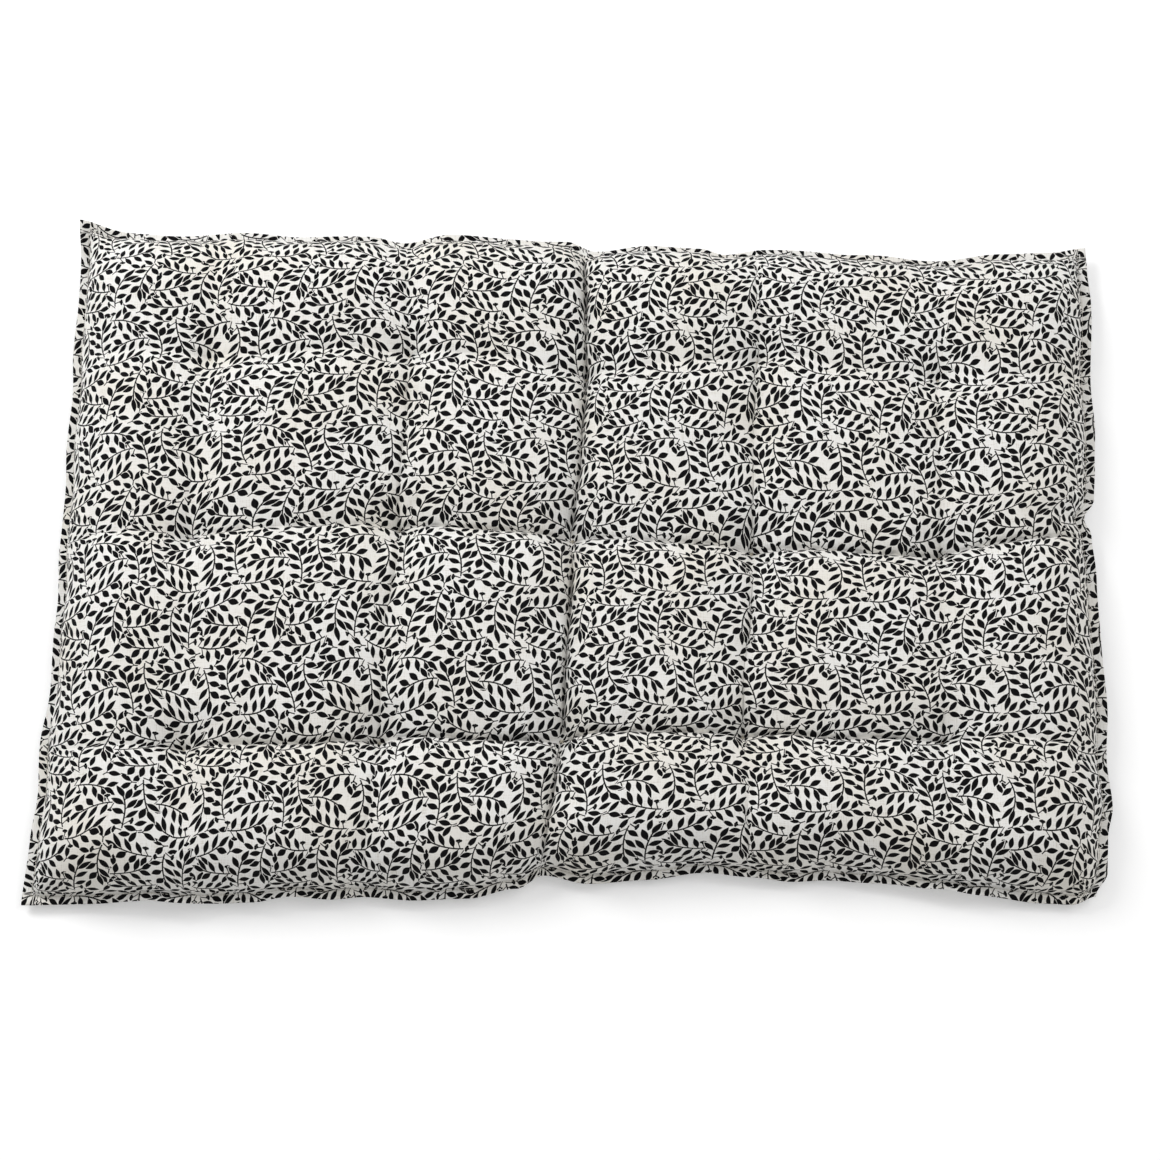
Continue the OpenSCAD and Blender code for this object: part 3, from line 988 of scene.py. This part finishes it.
def joined(parts):
    """Several (points, faces, map) as one."""
    points, faces, charts, start = [], [], [], 0
    for part_points, part_faces, chart in parts:
        points.append(part_points)
        charts.append(chart)
        faces += [tuple(i + start for i in face) for face in part_faces]
        start += len(part_points)
    return np.concatenate(points), faces, np.concatenate(charts)


def thread_piece(name, points, faces, chart, material):
    """A piece of thread with its map and the finish it is given."""
    piece = piece_from(name, points, faces, material, [("print", chart)])
    return piece


# Radius in metres of the twine in its shank, its stitches, its knot and its tails.
SHANK, STITCH, KNOT, TAIL = 1.0 * MM, 0.75 * MM, 0.95 * MM, 0.8 * MM
UPWARDS = np.array([[0, 0, 1.0]])


def level_way(turn):
    """The level direction (cos turn, sin turn, 0)."""
    return np.array([math.cos(turn), math.sin(turn), 0])


def tie_at(column, row):
    """A tuft's twine: a shank through the cotton, two short stitches sunk in the pit above, each an
    arch that falls as s^4 to both ends, and below a closed knot, the trefoil
    ((2 + cos 3t) cos 2t, (2 + cos 3t) sin 2t, 0.8 sin 3t) in its twine's radii, with two cut tails
    that bend as s^2."""
    x, y = COLUMNS[column], ROWS[row]
    top = between_lines(top_points, *top_lines, np.array([x]), np.array([y]))[0]
    low = between_lines(under_points, *under_lines, np.array([x]), np.array([y]))[0]
    steps = np.linspace(0, 1, 14)[:, None]
    shank = low + (top - low) * steps + np.array([0, 0, 0.2]) * MM
    parts = [tube(shank, np.array([[1.0, 0, 0]]), np.full(14, SHANK), 8)]
    swing = 0.5 + 0.9 * column - 0.6 * row
    for turn, lift in ((swing, 0.9), (swing + 1.45, 1.7)):
        s = np.linspace(-1, 1, 13)
        stitch = top + s[:, None] * level_way(turn) * 2.6 * MM
        stitch[:, 2] += (lift + 0.5 - 2.2 * s**4) * MM
        parts.append(tube(stitch, UPWARDS, np.full(13, STITCH), 7))
    t = np.linspace(0, 2 * np.pi, 73)
    wide = 2 + np.cos(3 * t)
    knot = np.stack([wide * np.cos(2 * t), wide * np.sin(2 * t), 0.8 * np.sin(3 * t)], -1) * KNOT
    centre = low - np.array([0, 0, 1.6]) * MM
    inward = np.stack([np.cos(2 * t), np.sin(2 * t), 0 * t], -1)
    parts.append(tube(knot + centre, inward, np.full(73, KNOT), 8))
    for turn, reach in ((swing + 0.5, 13), (swing + 2.9, 10)):
        s = np.linspace(0, 1, 12)
        bend = (s**2)[:, None] * level_way(turn + math.pi / 2) * 2.5
        tail = centre + (s[:, None] * level_way(turn) * reach + bend) * MM
        tail[:, 2] -= 0.6 * np.sin(s * np.pi) * MM
        parts.append(tube(tail, UPWARDS, np.full(12, TAIL), 7))
    points, faces, chart = joined(parts)
    return thread_piece(f"twine_tie_{column + 1}_{row + 1}", points, faces, chart, tie_twine)


# The middle column's ties stand at the fold, so they are attached to neither half.
for c in range(COLUMN_COUNT):
    for r in range(ROW_COUNT):
        tie = tie_at(c, r)
        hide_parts(tie_name(c, r))
        if c == COLUMN_COUNT // 2:
            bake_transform(tie)
        else:
            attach(tie, "left_half" if COLUMNS[c] < 0 else "right_half")

# The border stitches: from one to the next, length, radius, and how far outside the seam they lie.
STITCH_PITCH, STITCH_LENGTH, STITCH_RADIUS, STITCH_OUT = 4.0, 3.1, 0.34, 1.6


def seam_stitches(name, height, lift):
    """The row of stitches that closes the case, just outside the pillows: short threads, each between
    two holes, along a rectangle outside the seam. For s from -1/2 to 1/2 along a stitch it stands
    lift (1 - 4 s^2) off the cloth, and its radius is STITCH_RADIUS sqrt(1 - (1.75 s)^2)."""
    half_x, half_y = SEAM_X + STITCH_OUT, SEAM_Y + STITCH_OUT
    corners = np.array([(-half_x, -half_y), (half_x, -half_y), (half_x, half_y), (-half_x, half_y)])
    starts, ways = [], []
    for a, b in zip(corners, np.roll(corners, -1, 0)):
        way = (b - a) / np.linalg.norm(b - a)
        count = int(np.linalg.norm(b - a) // STITCH_PITCH)
        along = (np.arange(count) + 0.5) * (np.linalg.norm(b - a) / count)
        starts.append(a + along[:, None] * way)
        ways.append(np.broadcast_to(way, (count, 2)))
    middle, way = np.concatenate(starts), np.concatenate(ways)
    rings, sides = 5, 5
    s = np.linspace(-0.5, 0.5, rings)
    flat = middle[:, None] + way[:, None] * (s * STITCH_LENGTH)[:, None]
    x, y = flat[..., 0], flat[..., 1]
    centre = laid(x, y, height(x, y) + lift * (1 - 4 * s**2))
    thick = STITCH_RADIUS * MM * np.sqrt(1 - (1.75 * s) ** 2)
    heading = centre[:, -1] - centre[:, 0]
    heading /= np.linalg.norm(heading, axis=1, keepdims=True)
    level = np.stack([-heading[:, 1], heading[:, 0], 0 * heading[:, 0]], -1)
    upright = np.cross(heading, level)
    angle = np.linspace(0, 2 * np.pi, sides, endpoint=False)
    ring = level[:, None] * np.cos(angle)[:, None] + upright[:, None] * np.sin(angle)[:, None]
    points = centre[:, :, None] + ring[:, None] * thick[:, None, None]
    count = len(middle)
    index = np.arange(rings * sides).reshape(rings, sides)
    turned = np.roll(index, -1, 1)
    quads = np.stack([index[:-1], index[1:], turned[1:], turned[:-1]], -1).reshape(-1, 4)
    shift = (np.arange(count) * rings * sides)[:, None, None]
    caps = np.stack([index[0], index[-1, ::-1]])
    faces = (quads[None] + shift).reshape(-1, 4).tolist()
    faces += (caps[None] + shift).reshape(-1, sides).tolist()
    run = (s + 0.5) * STITCH_LENGTH * MM
    chart = np.stack(np.broadcast_arrays(run[None, :, None], (angle / (2 * np.pi))[None, None]), -1)
    chart = np.broadcast_to(chart, (count, rings, sides, 2)).reshape(-1, 2)
    piece = thread_piece(name, points.reshape(-1, 3), faces, chart, seam_cotton)
    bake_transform(piece)


seam_stitches("seam_stitches_top", top_height, 0.25)
seam_stitches("seam_stitches_under", under_height, -0.25)

# ---------------------------------------------------------------- stage, lamps and camera

# Half the floor's side, and how far it lies below the case, in metres.
FLOOR_REACH, FLOOR_GAP = 12, 0.0005


def shown_directly(tree):
    """1 to the camera, and in what glossy and clear things show, and else 0, as a field."""
    path = node(tree, "LightPath")
    camera_ray, glossy, through_glass = (
        Field(tree, path.outputs[f"Is {kind} Ray"]) for kind in ("Camera", "Glossy", "Transmission")
    )
    return camera_ray.max(glossy).max(through_glass)


def pale_floor():
    """A white floor that takes the case's shadow; where it is shown directly it glows up to white, the
    more the farther it lies from the case."""
    material, tree, shader = new_material("pale_floor")
    shader.inputs["Base Color"].default_value = (0.9, 0.9, 0.9, 1)
    shader.inputs["Roughness"].default_value = 1
    shader.inputs["Specular IOR Level"].default_value = 0
    seen = shown_directly(tree)
    x, y = two_fields(tree, node(tree, "TexCoord").outputs["Object"])
    glow = Field(tree, spread(tree, (x * x + y * y).sqrt().socket, 1.1, 3.2, 0.25, 0.75))
    shader.inputs["Emission Color"].default_value = (1, 1, 1, 1)
    tree.links.new((seen * glow).socket, shader.inputs["Emission Strength"])
    corners = np.array([(-1, -1, 0), (1, -1, 0), (1, 1, 0), (-1, 1, 0)]) * FLOOR_REACH
    piece_from("floor", corners - (0, 0, FLOOR_GAP), [(0, 1, 2, 3)], material)


def lamp(name, place, target, size, power):
    """A square area lamp at a place, turned to its target."""
    light = bpy.data.lights.new(name, "AREA")
    light.size, light.energy = size, power
    holder = bpy.data.objects.new(name, light)
    holder.location = place
    aim = Vector(target) - Vector(place)
    holder.rotation_euler = aim.to_track_quat("-Z", "Y").to_euler()
    bpy.context.scene.collection.objects.link(holder)


def studio():
    """Plain soft light: an even pale world, white where it is shown directly, and two large lamps, the
    stronger from the far left."""
    world = bpy.data.worlds.new("studio")
    world.use_nodes = True
    tree = world.node_tree
    background = tree.nodes["Background"]
    background.inputs["Color"].default_value = (1, 1, 1, 1)
    strength = shown_directly(tree).times_plus(0.525, 0.475)
    tree.links.new(strength.socket, background.inputs["Strength"])
    bpy.context.scene.world = world
    lamp("lamp_left", (-2.2, 1.75, 2.55), (0, 0, 0), 1.6, 71)
    lamp("lamp_right", (2.2, 0.9, 2.95), (0, 0, 0), 2.4, 38)


def camera():
    """The camera above the near side, looking down at the case: the directions of its own x, y and z
    in the scene, and its place in metres."""
    lens = bpy.data.cameras.new("camera")
    lens.sensor_width = 36
    lens.lens = 79.2
    holder = bpy.data.objects.new("camera", lens)
    across = (0.99925, 0.02297, -0.03129)
    up = (-0.01210, 0.95031, 0.31106)
    back = (0.03688, -0.31045, 0.94988)
    turn = Matrix((across, up, back)).transposed().to_4x4()
    turn.translation = (0.120, -0.940, 2.810)
    holder.matrix_world = turn
    bpy.context.scene.collection.objects.link(holder)
    bpy.context.scene.camera = holder


camera()
pale_floor()
studio()
bpy.context.scene.view_settings.view_transform = "Standard"
